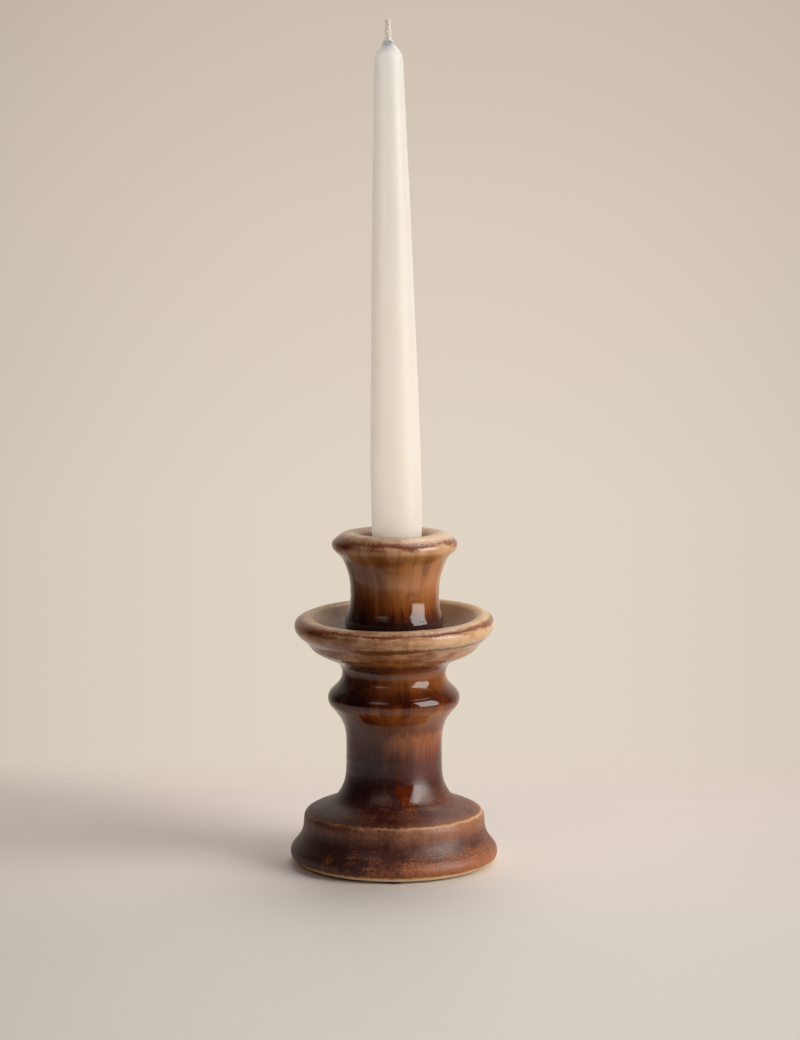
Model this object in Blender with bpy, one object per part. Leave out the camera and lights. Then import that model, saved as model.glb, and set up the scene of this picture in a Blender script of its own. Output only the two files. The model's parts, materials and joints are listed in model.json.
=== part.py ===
"""Glazed stoneware candlestick with a drip pan, and the taper candle that stands in its socket.

The frame is in metres with +Z up. The origin is on the table, on the candlestick's own axis.
Every dimension below is in millimetres, and MM turns it into metres where a mesh is made.
"""

import math

import bmesh
import bpy
from mathutils import Matrix, Vector

MM = 0.001

# ---- Driving dimensions, in millimetres ----

# Gaps that keep touching pieces apart, and the self-adhesive felt pads under the foot.
SEAT_GAP = 0.3
PAD_THICKNESS = 0.6
PAD_RADIUS = 3.6
PAD_COUNT = 4

# Flared base: a rolled toe, a hollow cove above it, then a rounded step and a sloping shoulder.
BASE_RADIUS = 47.4
TOE_UNDERCUT = 3.5  # how far the bare clay foot sits inside the toe
TOE_HEIGHT = 4.3
COVE_DEPTH = 6.0  # how far the wall under the step sits inside the toe
STEP_HEIGHT = 18.8
STEP_ROUND = 4.7  # height of the rounded edge above the step wall
STEP_INSET = 2.1  # how far that edge leans in over its height
SHOULDER_RISE = 2.4
SHOULDER_WIDTH = 5.3
FOOT_RING_WIDTH = 8.6  # bare clay ring that the pads are glued to
FOOT_CHAMFER = 0.8

# Stem, with the bulging ring near its top and the throat that carries the pan.
STEM_RADIUS = 21.95
FLARE_REACH = 3.4  # how far the foot of the stem spreads before it meets the shoulder
FLARE_FOOT_RISE = 5.2
FLARE_HEIGHT = 17.0
STEM_HEIGHT = 6.6  # the parallel part of the stem
RING_BULGE = 8.2
RING_RISE = 20.3  # from the top of the parallel part to the crest of the ring
RING_FLANK = 5.0  # height of the ring's own roundness on each side of its crest
RING_SHOULDER = 3.1  # how far that roundness falls back from the crest
THROAT_RELIEF = 1.75  # how much thicker the throat is than the stem
THROAT_RISE = 11.4

# Drip pan.
PAN_RADIUS = 45.4
PAN_ROOT_SPREAD = 3.5
PAN_ROOT_RISE = 5.6
RIM_ROLL = 5.7  # how far the crest of the rim sits inside its widest point
RIM_NECKING = 6.0  # how far the groove under the rim sits inside its widest point
RIM_UNDER = 8.6  # from that groove up to the widest point
RIM_OVER = 4.3  # from the widest point up to the crest
BOWL_RISE = 8.1
PAN_DEPTH = 8.7
BOWL_SPAN = 6.2  # the sloping inner wall of the pan, measured inwards from the crest
FLOOR_MARGIN = 4.7  # the near-flat floor round the neck
PAN_SAG = 3.8  # the rim is this much lower on one side than across from it, as it was lifted off
PAN_SAG_HEADING = math.radians(246)  # the low side, measured about +Z from +X

# Candle cup: a neck with a bead at its foot and a thick rolled lip around the socket.
NECK_WALL = 6.9
BEAD_BULGE = 2.35
BEAD_RISE = 5.6
WAIST_RISE = 14.7  # from the bead to the waist
LIP_BULGE = 8.4
LIP_RISE = 20.5  # from the waist to the lip's widest point
LIP_UNDER = 5.0
LIP_OVER = 5.6
LIP_CREST_INSET = 7.7
MOUTH_DEPTH = 8.6  # the rounded mouth that leads into the straight socket
SOCKET_DEPTH = 25.6
SOCKET_FLOOR_ROUND = 1.6

# Hollow that opens under the foot, as a cast piece has.
STEM_WALL = 6.2
SHOULDER_WALL = 6.4
SOCKET_FLOOR_WALL = 7.5
DOME_HEIGHT = 17.5
ROOF_RISE = 5.5  # how far the roof of the base hollow arches above the shoulder wall
ROOF_SPAN = 4.5

# Taper candle and its wick.
CANDLE_RADIUS = 11.3
CANDLE_FOOT_RADIUS = 10.9  # drawn in at the foot, so that it starts easily in a socket
CANDLE_CLEARANCE = 2.1  # between the candle and the socket wall, all round, before it is set aside
CANDLE_LENGTH = 243.5
CANDLE_PARALLEL = 0.22  # share of the length below the taper
CANDLE_TIP_RADIUS = 6.3
CANDLE_SHOULDER = 8.0  # height of the rounded shoulder at the tip
CANDLE_TAPER_POWER = 1.2
CANDLE_FOOT_CHAMFER = 0.8
CANDLE_ASIDE = 1.8  # the candle stands this far to one side of the socket's centre
CANDLE_LEAN = math.radians(1.0)  # and leans back over it, as a hand-set candle does
NIPPLE_RADIUS = 2.1  # where the wax ends on the wick
WICK_RADIUS = 1.5
WICK_EXPOSED = 10.0
WICK_TIP_ROUND = 0.4

# ---- Fineness of the faceted surfaces ----

BODY_SEGMENTS = 40
CANDLE_SEGMENTS = 36
WICK_SEGMENTS = 16
PAD_SEGMENTS = 24
WELD = 1e-7  # metres: joins the points of a turned profile that lie on the axis
HANDLE = 0.39  # handle length of a curve as a share of its chord, which follows a circle closely
SMOOTH_BELOW = math.radians(35)

# ---- Sizes that follow from the driving dimensions ----

FOOT_LEVEL = PAD_THICKNESS + SEAT_GAP
SOCKET_RADIUS = CANDLE_RADIUS + CANDLE_CLEARANCE
WAIST_RADIUS = SOCKET_RADIUS + NECK_WALL
FOOT_RADIUS = BASE_RADIUS - TOE_UNDERCUT
STEP_RADIUS = BASE_RADIUS - COVE_DEPTH
SHOULDER_TOP = STEP_HEIGHT + STEP_ROUND + SHOULDER_RISE
FLARE_FOOT = SHOULDER_TOP + FLARE_FOOT_RISE
STEM_BOTTOM = FLARE_FOOT + FLARE_HEIGHT
STEM_TOP = STEM_BOTTOM + STEM_HEIGHT
RING_CREST = STEM_TOP + RING_RISE
THROAT = RING_CREST + THROAT_RISE
PAN_ROOT = THROAT + PAN_ROOT_RISE
RIM_GROOVE = PAN_ROOT + BOWL_RISE
RIM_WIDEST = RIM_GROOVE + RIM_UNDER
RIM_CREST = RIM_WIDEST + RIM_OVER
PAN_FLOOR = RIM_CREST - PAN_DEPTH
BEAD = PAN_FLOOR + BEAD_RISE
WAIST = BEAD + WAIST_RISE
LIP_WIDEST = WAIST + LIP_RISE
LIP_CREST = LIP_WIDEST + LIP_OVER
SOCKET_FLOOR = LIP_CREST - SOCKET_DEPTH
CAVITY_TOP = SOCKET_FLOOR - SOCKET_FLOOR_WALL
CAVITY_RADIUS = STEM_RADIUS - STEM_WALL
FOOT_RING_INSIDE = FOOT_RADIUS - FOOT_RING_WIDTH

# Headings of an outline, in degrees: the way it runs at a station, seen in the X-Z plane.
OUT, UP, IN, DOWN = 0, 90, 180, 270


def bend(start, end, steps):
    """Points of a cubic curve between two stations (radius, height, heading), without the start."""
    r0, z0, heading0 = start
    r1, z1, heading1 = end
    reach = HANDLE * math.hypot(r1 - r0, z1 - z0)
    a, b = math.radians(heading0), math.radians(heading1)
    p0, p3 = Vector((r0, z0)), Vector((r1, z1))
    p1 = p0 + reach * Vector((math.cos(a), math.sin(a)))
    p2 = p3 - reach * Vector((math.cos(b), math.sin(b)))
    points = []
    for i in range(1, steps + 1):
        t = i / steps
        s = 1 - t
        points.append(p0 * s**3 + p1 * 3 * s * s * t + p2 * 3 * s * t * t + p3 * t**3)
    return points


def outline(stations):
    """Points through stations (radius, height, heading, steps), where steps lead to that station.

    A station with no steps starts a straight run or leaves a corner: the outline goes to it directly.
    """
    points = [Vector(stations[0][:2])]
    for before, after in zip(stations, stations[1:]):
        if after[3]:
            points += bend(before[:3], after[:3], after[3])
        elif (Vector(after[:2]) - points[-1]).length > SEAT_GAP / 10:
            points.append(Vector(after[:2]))
    return points


def base_outline():
    """The outside from the foot ring up to the shoulder."""
    step_top = STEP_HEIGHT + STEP_ROUND
    shoulder_radius = STEP_RADIUS - STEP_INSET - SHOULDER_WIDTH
    return [
        (FOOT_RADIUS, 0, 22, 0),
        (BASE_RADIUS, TOE_HEIGHT, UP, 4),
        (BASE_RADIUS - 0.48 * COVE_DEPTH, TOE_HEIGHT + 0.37 * (STEP_HEIGHT - TOE_HEIGHT), 128, 3),
        (STEP_RADIUS, STEP_HEIGHT, 92, 4),
        (STEP_RADIUS - STEP_INSET, step_top, 147, 4),
        (shoulder_radius, SHOULDER_TOP, 157, 2),
    ]


def stem_outline():
    """The outside from the shoulder up to the throat."""
    throat_radius = STEM_RADIUS + THROAT_RELIEF
    ring_radius = STEM_RADIUS + RING_BULGE
    return [
        (STEM_RADIUS + FLARE_REACH, FLARE_FOOT, 122, 4),
        (STEM_RADIUS, STEM_BOTTOM, UP, 4),
        (STEM_RADIUS, STEM_TOP, UP, 0),
        (ring_radius - RING_SHOULDER, RING_CREST - 1.16 * RING_FLANK, 50, 4),
        (ring_radius, RING_CREST, UP, 3),
        (ring_radius - RING_SHOULDER, RING_CREST + 1.06 * RING_FLANK, 136, 3),
        (throat_radius, THROAT, UP, 3),
    ]


def pan_outline():
    """The outside of the pan, over its rim and across its floor to the foot of the neck."""
    throat_radius = STEM_RADIUS + THROAT_RELIEF
    crest_radius = PAN_RADIUS - RIM_ROLL
    groove_radius = PAN_RADIUS - RIM_NECKING
    floor_radius = WAIST_RADIUS + FLOOR_MARGIN
    return [
        (throat_radius + PAN_ROOT_SPREAD, PAN_ROOT, 28, 3),
        (groove_radius, RIM_GROOVE, 60, 4),
        (groove_radius + 0.17 * RIM_NECKING, RIM_GROOVE + 0.13 * RIM_UNDER, 42, 1),
        (PAN_RADIUS, RIM_WIDEST, UP, 4),
        (crest_radius, RIM_CREST, IN, 5),
        (crest_radius - BOWL_SPAN, RIM_CREST - 0.43 * PAN_DEPTH, 218, 3),
        (floor_radius, PAN_FLOOR + 0.4, 188, 3),
        (WAIST_RADIUS + 0.6, PAN_FLOOR, IN, 1),
    ]


def cup_outline():
    """The outside of the candle cup, over its lip and down the socket to the axis."""
    bead_radius = WAIST_RADIUS + BEAD_BULGE
    lip_radius = WAIST_RADIUS + LIP_BULGE
    return [
        (WAIST_RADIUS + 0.6, PAN_FLOOR, 55, 0),
        (bead_radius, BEAD, UP, 3),
        (WAIST_RADIUS + 0.7, BEAD + 0.4 * WAIST_RISE, 108, 3),
        (WAIST_RADIUS, WAIST, UP, 2),
        (WAIST_RADIUS + 0.35 * LIP_BULGE, LIP_WIDEST - 1.6 * LIP_UNDER, 68, 4),
        (lip_radius - 0.41 * LIP_BULGE, LIP_WIDEST - LIP_UNDER, 45, 2),
        (lip_radius, LIP_WIDEST, UP, 3),
        (lip_radius - 0.34 * LIP_CREST_INSET, LIP_CREST - 0.39 * LIP_OVER, 138, 3),
        (lip_radius - LIP_CREST_INSET, LIP_CREST, IN, 3),
        (SOCKET_RADIUS + 0.7, LIP_CREST - 0.48 * MOUTH_DEPTH, 245, 4),
        (SOCKET_RADIUS, LIP_CREST - MOUTH_DEPTH, DOWN, 2),
        (SOCKET_RADIUS, SOCKET_FLOOR + SOCKET_FLOOR_ROUND, DOWN, 0),
        (SOCKET_RADIUS - SOCKET_FLOOR_ROUND, SOCKET_FLOOR, IN, 2),
        (0, SOCKET_FLOOR, IN, 0),
    ]


def cavity_outline():
    """The hollow, from its dome on the axis down to the inner edge of the foot ring."""
    roof = STEP_HEIGHT - SHOULDER_WALL + ROOF_RISE
    return [
        (0, CAVITY_TOP, OUT, 0),
        (CAVITY_RADIUS, CAVITY_TOP - DOME_HEIGHT, DOWN, 5),
        (CAVITY_RADIUS, STEM_BOTTOM, DOWN, 0),
        (CAVITY_RADIUS + 4.0, FLARE_FOOT - 6.0, 305, 3),
        (FOOT_RING_INSIDE - ROOF_SPAN, roof, 335, 2),
        (FOOT_RING_INSIDE, roof - 1.1 * ROOF_SPAN, DOWN, 3),
        (FOOT_RING_INSIDE, FOOT_CHAMFER, DOWN, 0),
        (FOOT_RING_INSIDE + FOOT_CHAMFER, 0, 300, 0),
        (FOOT_RADIUS, 0, OUT, 0),
    ]


def candle_outline():
    """The candle's wax as a closed outline round the hole for the wick, from z = 0 at its foot."""
    hole = WICK_RADIUS + SEAT_GAP
    shoulder = CANDLE_LENGTH - CANDLE_SHOULDER
    parallel = CANDLE_PARALLEL * CANDLE_LENGTH
    points = [
        Vector((hole, 0)),
        Vector((CANDLE_FOOT_RADIUS - CANDLE_FOOT_CHAMFER, 0)),
        Vector((CANDLE_FOOT_RADIUS, CANDLE_FOOT_CHAMFER)),
    ]
    steps = 8
    for i in range(steps + 1):
        t = i / steps
        radius = CANDLE_RADIUS - (CANDLE_RADIUS - CANDLE_TIP_RADIUS) * t**CANDLE_TAPER_POWER
        points.append(Vector((radius, parallel + t * (shoulder - parallel))))
    points += bend((CANDLE_TIP_RADIUS, shoulder, 94), (NIPPLE_RADIUS, CANDLE_LENGTH, 106), 6)
    points.append(Vector((hole, CANDLE_LENGTH)))
    return points


def wick_outline():
    """The wick from the candle's foot to its tip, as an outline that starts and ends on the axis."""
    top = CANDLE_LENGTH + WICK_EXPOSED
    return [
        Vector((0, 0)),
        Vector((WICK_RADIUS, 0)),
        Vector((WICK_RADIUS, top - WICK_TIP_ROUND)),
        Vector((WICK_RADIUS - WICK_TIP_ROUND, top)),
        Vector((0, top)),
    ]


def clear_scene():
    for obj in list(bpy.data.objects):
        bpy.data.objects.remove(obj, do_unlink=True)


def material(name, colour, roughness):
    """A plain Principled material for a non-metal."""
    made = bpy.data.materials.new(name)
    made.use_nodes = True
    shader = made.node_tree.nodes["Principled BSDF"]
    shader.inputs["Base Color"].default_value = (*colour, 1)
    shader.inputs["Roughness"].default_value = roughness
    shader.inputs["Metallic"].default_value = 0
    made.diffuse_color = (*colour, 1)
    return made


def turned(name, outline_mm, segments, look, level=0.0, closed=False):
    """A solid of revolution about its own Z axis, from points (radius, height) in millimetres."""
    mesh = bpy.data.meshes.new(name)
    shape = bmesh.new()
    corners = [shape.verts.new((p.x * MM, 0, (p.y + level) * MM)) for p in outline_mm]
    pairs = list(zip(corners, corners[1:]))
    if closed:
        pairs.append((corners[-1], corners[0]))
    edges = [shape.edges.new(pair) for pair in pairs]
    bmesh.ops.spin(
        shape,
        geom=corners + edges,
        axis=(0, 0, 1),
        cent=(0, 0, 0),
        angle=math.tau,
        steps=segments,
        use_merge=True,
    )
    bmesh.ops.remove_doubles(shape, verts=shape.verts, dist=WELD)
    bmesh.ops.recalc_face_normals(shape, faces=shape.faces)
    shape.to_mesh(mesh)
    shape.free()
    mesh.shade_smooth()
    mesh.set_sharp_from_angle(angle=SMOOTH_BELOW)
    mesh.materials.append(look)
    obj = bpy.data.objects.new(name, mesh)
    bpy.context.scene.collection.objects.link(obj)
    return obj


def share(value, low, high):
    """0 below low, 1 above high, and in proportion between them."""
    return min(1, max(0, (value - low) / (high - low)))


def sag_pan(body):
    """Tips the pan's rim towards its low side. The neck, the floor round it and the stem stay put."""
    bead_radius = WAIST_RADIUS + BEAD_BULGE
    crest_radius = PAN_RADIUS - RIM_ROLL
    low_side = Vector((math.cos(PAN_SAG_HEADING), math.sin(PAN_SAG_HEADING)))
    for vertex in body.data.vertices:
        flat = vertex.co.xy / MM
        height = vertex.co.z / MM - FOOT_LEVEL
        if height < RIM_CREST + SEAT_GAP:
            weight = share(flat.length, bead_radius, crest_radius) * share(height, RIM_GROOVE, RIM_CREST)
            vertex.co.z -= weight * PAN_SAG / 2 * flat.dot(low_side) / crest_radius * MM


def make_body(look):
    """The stoneware candlestick itself, one fired piece that is hollow from below."""
    wall = outline(cavity_outline())
    wall += outline(base_outline() + stem_outline() + pan_outline() + cup_outline())[1:]
    body = turned("stoneware_body", wall, BODY_SEGMENTS, look, FOOT_LEVEL)
    sag_pan(body)
    return body


def make_pads(look):
    """The thin round pads under the foot ring, evenly spaced and all of one shape."""
    circle = (FOOT_RADIUS + FOOT_RING_INSIDE + FOOT_CHAMFER) / 2
    corners = ((0, 0), (PAD_RADIUS, 0), (PAD_RADIUS, PAD_THICKNESS), (0, PAD_THICKNESS))
    disc = [Vector(corner) for corner in corners]
    first = turned("felt_pad_1", disc, PAD_SEGMENTS, look)
    for i in range(PAD_COUNT):
        pad = first
        if i:
            pad = bpy.data.objects.new(f"felt_pad_{i + 1}", first.data)
            bpy.context.scene.collection.objects.link(pad)
        angle = math.tau * i / PAD_COUNT
        pad.location = Vector((math.cos(angle), math.sin(angle), 0)) * circle * MM


def make_candle(wax, cotton):
    """The candle and its wick, on an empty that stands on the candle's own axis."""
    seat = bpy.data.objects.new("candle_axis", None)
    bpy.context.scene.collection.objects.link(seat)
    tilt_drop = CANDLE_RADIUS * math.sin(CANDLE_LEAN)
    seat.location = (
        CANDLE_ASIDE * MM,
        0,
        (FOOT_LEVEL + SOCKET_FLOOR + SEAT_GAP + tilt_drop) * MM,
    )
    seat.rotation_euler = Matrix.Rotation(-CANDLE_LEAN, 3, "Y").to_euler()
    candle = turned("candle_wax", candle_outline(), CANDLE_SEGMENTS, wax, closed=True)
    wick = turned("candle_wick", wick_outline(), WICK_SEGMENTS, cotton)
    for piece in (candle, wick):
        piece.parent = seat


def main():
    clear_scene()
    make_body(material("reactive_glaze", (0.16, 0.055, 0.028), 0.15))
    make_pads(material("brown_felt", (0.10, 0.06, 0.04), 0.9))
    make_candle(material("ivory_wax", (0.80, 0.74, 0.60), 0.4), material("cotton", (0.75, 0.70, 0.60), 0.85))


main()
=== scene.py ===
"""The looks of a glazed stoneware candlestick with a taper candle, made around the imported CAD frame."""

import json
import math

import bpy
import numpy as np
from mathutils import Matrix, Vector


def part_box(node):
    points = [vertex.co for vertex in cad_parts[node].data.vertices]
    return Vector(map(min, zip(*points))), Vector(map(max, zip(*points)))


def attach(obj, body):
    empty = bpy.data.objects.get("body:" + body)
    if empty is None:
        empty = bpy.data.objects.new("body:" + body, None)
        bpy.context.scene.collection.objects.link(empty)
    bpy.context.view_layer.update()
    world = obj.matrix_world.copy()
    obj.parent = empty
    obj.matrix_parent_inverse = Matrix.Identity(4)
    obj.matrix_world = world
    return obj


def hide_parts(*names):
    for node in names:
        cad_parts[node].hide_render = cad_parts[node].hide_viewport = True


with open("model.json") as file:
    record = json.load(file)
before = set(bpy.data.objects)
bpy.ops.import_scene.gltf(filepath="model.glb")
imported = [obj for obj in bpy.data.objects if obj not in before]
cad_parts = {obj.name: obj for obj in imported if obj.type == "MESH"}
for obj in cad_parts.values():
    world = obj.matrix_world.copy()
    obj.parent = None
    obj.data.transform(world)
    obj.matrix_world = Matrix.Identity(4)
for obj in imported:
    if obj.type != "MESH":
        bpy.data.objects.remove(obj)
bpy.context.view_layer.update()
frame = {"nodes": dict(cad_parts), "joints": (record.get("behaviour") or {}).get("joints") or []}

MM = 0.001

# ---- Camera, in metres: a long lens a little above the candlestick ----

CAMERA_DISTANCE = 1.230
CAMERA_HEIGHT = 0.3067
CAMERA_ASIDE = 0.0027
CAMERA_PITCH = math.radians(6.95)
CAMERA_LENS = 95.16  # millimetres
CAMERA_SENSOR = 36  # millimetres

# ---- Fineness of the turned surfaces, in millimetres ----

OUTSIDE_STEP = 0.45
INSIDE_STEP = 2.0
CANDLE_STEP = 0.9
BODY_SEGMENTS = 320
CANDLE_SEGMENTS = 96
CORNER = math.radians(38)  # an outline that turns more than this at a point has a real corner there

# ---- Handmade character of the body, in millimetres ----

LUMP_DEPTH = 0.25
RIPPLE_DEPTH = 0.10  # soft waves in the thick glaze
THROWING_RING_DEPTH = 0.012
THROWING_RING_PITCH = 4.3
GLAZE_THICKNESS = 0.18
GLAZE_EDGE = 0.35  # the width of the glaze's rounded end, and how far that end wanders up and down
BARE_CLAY_HEIGHT = 2.7  # the glaze stops this far up from the foot
CUP_ASIDE = 0.45  # the cup was set this far to one side of the stem
CUP_ASIDE_FROM = 95  # height where the cup's offset begins
CUP_ASIDE_OVER = 40  # height over which it grows to its full size
LEAST_RADIUS = 0.05

# ---- Candle and wick, in millimetres ----

MOULD_DIP = 0.05
WICK_STRANDS = 4  # each way round
WICK_ROW = 2.35  # between crossings in one column
STRAND_RADIUS = 0.43
BRAID_RADIUS = 1.08
BRAID_WEAVE = 0.2  # how far a strand goes in and out as it passes the others
BRAID_BURIED = 1.5
BRAID_STEPS = 90
STRAND_SIDES = 10
CORE_SIDES = 20

# ---- Felt pads ----

FELT_SEGMENTS = 72
FELT_EDGE = 0.16  # millimetres


# ======== Turned outlines, taken from the CAD solids ========


def half_outline(node, quarter):
    """Points (radius, height) in millimetres of a solid turned about Z, in order along its outline.

    The outline is the one on the +X, +Y, -X or -Y side, for quarter 0 to 3. It starts at the lower of the
    two points on the axis and ends at the other.
    """
    mesh = frame["nodes"][node].data
    out = Vector(((1, 0), (0, 1), (-1, 0), (0, -1))[quarter])
    place = {}
    for vertex in mesh.vertices:
        ahead = vertex.co.xy.dot(out)
        if abs(vertex.co.xy.cross(out)) < 1e-6 and ahead > -1e-6:
            place[vertex.index] = (round(ahead / MM, 3), round(vertex.co.z / MM, 3))
    near = {}
    for edge in mesh.edges:
        a, b = (place.get(i) for i in edge.vertices)
        if a and b and a != b:
            near.setdefault(a, set()).add(b)
            near.setdefault(b, set()).add(a)
    ends = sorted((p for p in near if p[0] == 0), key=lambda p: p[1])
    walk = [ends[0]]
    seen = {ends[0]}
    while True:
        onward = [p for p in near[walk[-1]] if p not in seen]
        if not onward:
            break
        walk.append(min(onward, key=lambda p: math.dist(p, walk[-1])))
        seen.add(walk[-1])
    return np.array(walk)


def body_outline():
    """The body's outline as rows of radius, height and how far the height rises towards +X and +Y.

    The pan's rim was lifted off unevenly, so the body isn't the same on all sides.
    """
    right, back, left, front = (half_outline("stoneware_body", quarter) for quarter in range(4))
    middle = (right + back + left + front) / 4
    return np.column_stack([middle, (right - left)[:, 1] / 2, (back - front)[:, 1] / 2])


def straight_run(points, step):
    count = max(2, int(math.dist(points[0], points[-1]) / step) + 1)
    share = np.linspace(0, 1, count)[:, None]
    return points[0] * (1 - share) + points[-1] * share


def smooth_run(points, step):
    """A finer line through points, rounded by a centripetal Catmull-Rom curve."""
    if len(points) < 3:
        return straight_run(points, step)
    p = np.vstack([2 * points[0] - points[1], points, 2 * points[-1] - points[-2]])
    line = [points[0]]
    for i in range(1, len(p) - 2):
        gaps = np.linalg.norm(np.diff(p[i - 1:i + 3], axis=0), axis=1)
        knots = np.concatenate([[0], np.cumsum(gaps ** 0.5)])
        count = max(1, math.ceil(math.dist(p[i], p[i + 1]) / step))
        for t in knots[1] + (knots[2] - knots[1]) * np.arange(1, count + 1) / count:
            level = p[i - 1:i + 3]
            for starts, ends in ((knots[:3], knots[1:]), (knots[:2], knots[2:]), (knots[1:2], knots[2:3])):
                share = ((t - starts) / (ends - starts))[:, None]
                level = level[:-1] * (1 - share) + level[1:] * share
            line.append(level[0])
    return np.array(line)


def refined(points, step):
    """The outline refined between its corners, to about one point every step."""
    heading = np.arctan2(*np.diff(points[:, :2], axis=0).T[::-1])
    turn = np.abs((np.diff(heading) + math.pi) % math.tau - math.pi)
    corners = [0, *(np.nonzero(turn > CORNER)[0] + 1), len(points) - 1]
    line = [points[:1]]
    for a, b in zip(corners, corners[1:]):
        line.append(smooth_run(points[a:b + 1], step)[1:])
    return np.vstack(line)


def arc_length(line):
    return np.concatenate([[0], np.cumsum(np.linalg.norm(np.diff(line[:, :2], axis=0), axis=1))])


def normals_of(line):
    """Outward normals of an outline that keeps the solid on its left."""
    tangent = np.gradient(line[:, :2], axis=0)
    tangent /= np.maximum(np.linalg.norm(tangent, axis=1), 1e-9)[:, None]
    return np.column_stack([tangent[:, 1], -tangent[:, 0]])


def widest_and_narrowest(radius, along, outside):
    """The places where the outside turns from widening to narrowing and back, by name, from the foot up."""
    least_turn = 0.25  # millimetres that the radius must change back by
    names = iter(["toe", "stem", "ring", "throat", "rim", "pan_corner", "bead", "waist", "lip"])
    found = {}
    rising = True
    best = outside[0]
    for i in outside:
        better = radius[i] > radius[best] if rising else radius[i] < radius[best]
        if better:
            best = i
        elif abs(radius[i] - radius[best]) > least_turn:
            name = next(names, None)
            if name is None:
                break
            found[name] = along[best]
            rising = not rising
            best = i
    return found


def landmarks(line, along):
    """Named places along the outside, in millimetres from the foot, found from the outline's own turns."""
    outside = np.nonzero(along >= 0)[0]
    radius, height = line[:, 0], line[:, 1]
    found = widest_and_narrowest(radius, along, outside)
    crest = outside[(along[outside] > found["rim"]) & (along[outside] < found["pan_corner"])]
    found["crest"] = along[crest[np.argmax(height[crest])]]
    top = outside[along[outside] > found["lip"]]
    found["mouth"] = along[top[np.argmax(height[top])]]
    heading = np.unwrap(np.arctan2(*np.gradient(line[:, :2], axis=0).T[::-1]))
    bend = np.gradient(heading, along)
    past_toe = found["toe"] + 8
    lower = outside[(along[outside] > past_toe) & (along[outside] < found["stem"])]
    found["step"] = along[lower[np.argmax(bend[lower])]]
    found["shoulder"] = along[lower[np.argmin(bend[lower])]]
    found["foot"] = 0.0
    return found


# ======== Meshes ========


def mesh_object(name, points, faces, attributes=None):
    """A smooth-shaded object from points in metres and faces, with named values on its points."""
    mesh = bpy.data.meshes.new(name)
    mesh.from_pydata(points, [], faces)
    for key, values in (attributes or {}).items():
        mesh.attributes.new(key, "FLOAT", "POINT").data.foreach_set("value", values.astype(np.float32))
    mesh.shade_smooth()
    mesh.validate()
    obj = bpy.data.objects.new(name, mesh)
    bpy.context.scene.collection.objects.link(obj)
    return obj


def ring_faces(rings, segments, closed=False):
    """Quads between successive rings of points. With closed, the last ring joins the first."""
    faces = []
    for i in range(rings if closed else rings - 1):
        low, high = i * segments, (i + 1) % rings * segments
        for j in range(segments):
            k = (j + 1) % segments
            faces.append((low + j, low + k, high + k, high + j))
    return faces


def cap_faces(rings, segments):
    """One face on the first ring, looking back, and one on the last, looking on."""
    first = tuple(range(segments))
    last = tuple(range((rings - 1) * segments, rings * segments))
    return [first[::-1], last]


def fan_faces(centre, first, segments, outward):
    """Triangles from one point on the axis to a ring of points."""
    faces = []
    for j in range(segments):
        k = (j + 1) % segments
        faces.append((centre, first + j, first + k) if outward else (centre, first + k, first + j))
    return faces


def angles(segments):
    return np.arange(segments) * math.tau / segments


def turned_points(radius, angle, height, aside=0):
    """Points in metres from arrays of radius, angle and height, with the radius and height in millimetres."""
    points = np.stack([radius * np.cos(angle) + aside, radius * np.sin(angle), height], axis=-1)
    return points.reshape(-1, 3) * MM


def waves(angle, height, seed, count, turns, rise):
    """A smooth field between about -1 and 1 over angle and height, periodic round the axis.

    It sums count waves of up to turns each round the axis, that slant by up to rise radians a millimetre.
    """
    chance = np.random.default_rng(seed)
    total = np.zeros_like(angle)
    for _ in range(count):
        around = chance.integers(1, turns + 1)
        size = chance.normal()
        slant = chance.uniform(-rise, rise)
        start = chance.uniform(0, math.tau)
        total += size * np.cos(around * angle + slant * height + start)
    return total / count**0.5


def body_line():
    """The fine outline of the body, how far each point is from the foot, and the landmarks."""
    points = body_outline()
    foot = int(np.argmin(points[:, 1] - 0.001 * points[:, 0]))  # lowest, and the outermost of the lowest
    line = np.vstack([
        refined(points[:foot + 1], INSIDE_STEP),
        refined(points[foot:], OUTSIDE_STEP)[1:],
    ])
    along = arc_length(line)
    along -= along[np.argmin(np.linalg.norm(line - points[foot], axis=1))]
    return line, along, landmarks(line, along)


def hand_push(along, angle, height, shown, marks):
    """How far the surface stands out from the outline: the glaze's end, lumps, ripples and throwing rings."""
    wander = waves(angle, along * 0, seed=5, count=6, turns=14, rise=0)
    coat = np.clip((along - BARE_CLAY_HEIGHT - GLAZE_EDGE * wander) / GLAZE_EDGE, 0, 1)
    push = GLAZE_THICKNESS * (coat - 1) * (along > -1)
    lumps = waves(angle, height, seed=11, count=8, turns=4, rise=0.09)
    ripples = waves(angle, height, seed=31, count=10, turns=9, rise=0.45)
    push = push + shown * LUMP_DEPTH * (lumps - 1) * 0.5
    push = push + shown * RIPPLE_DEPTH * (ripples - 1) * 0.5
    wobble = THROWING_RING_PITCH * 0.25 * waves(angle, height, seed=23, count=4, turns=3, rise=0.05)
    thrown = np.clip((along - marks["shoulder"]) / 6, 0, 1)
    return push + thrown * THROWING_RING_DEPTH * np.sin((along + wobble) * math.tau / THROWING_RING_PITCH)


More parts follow.
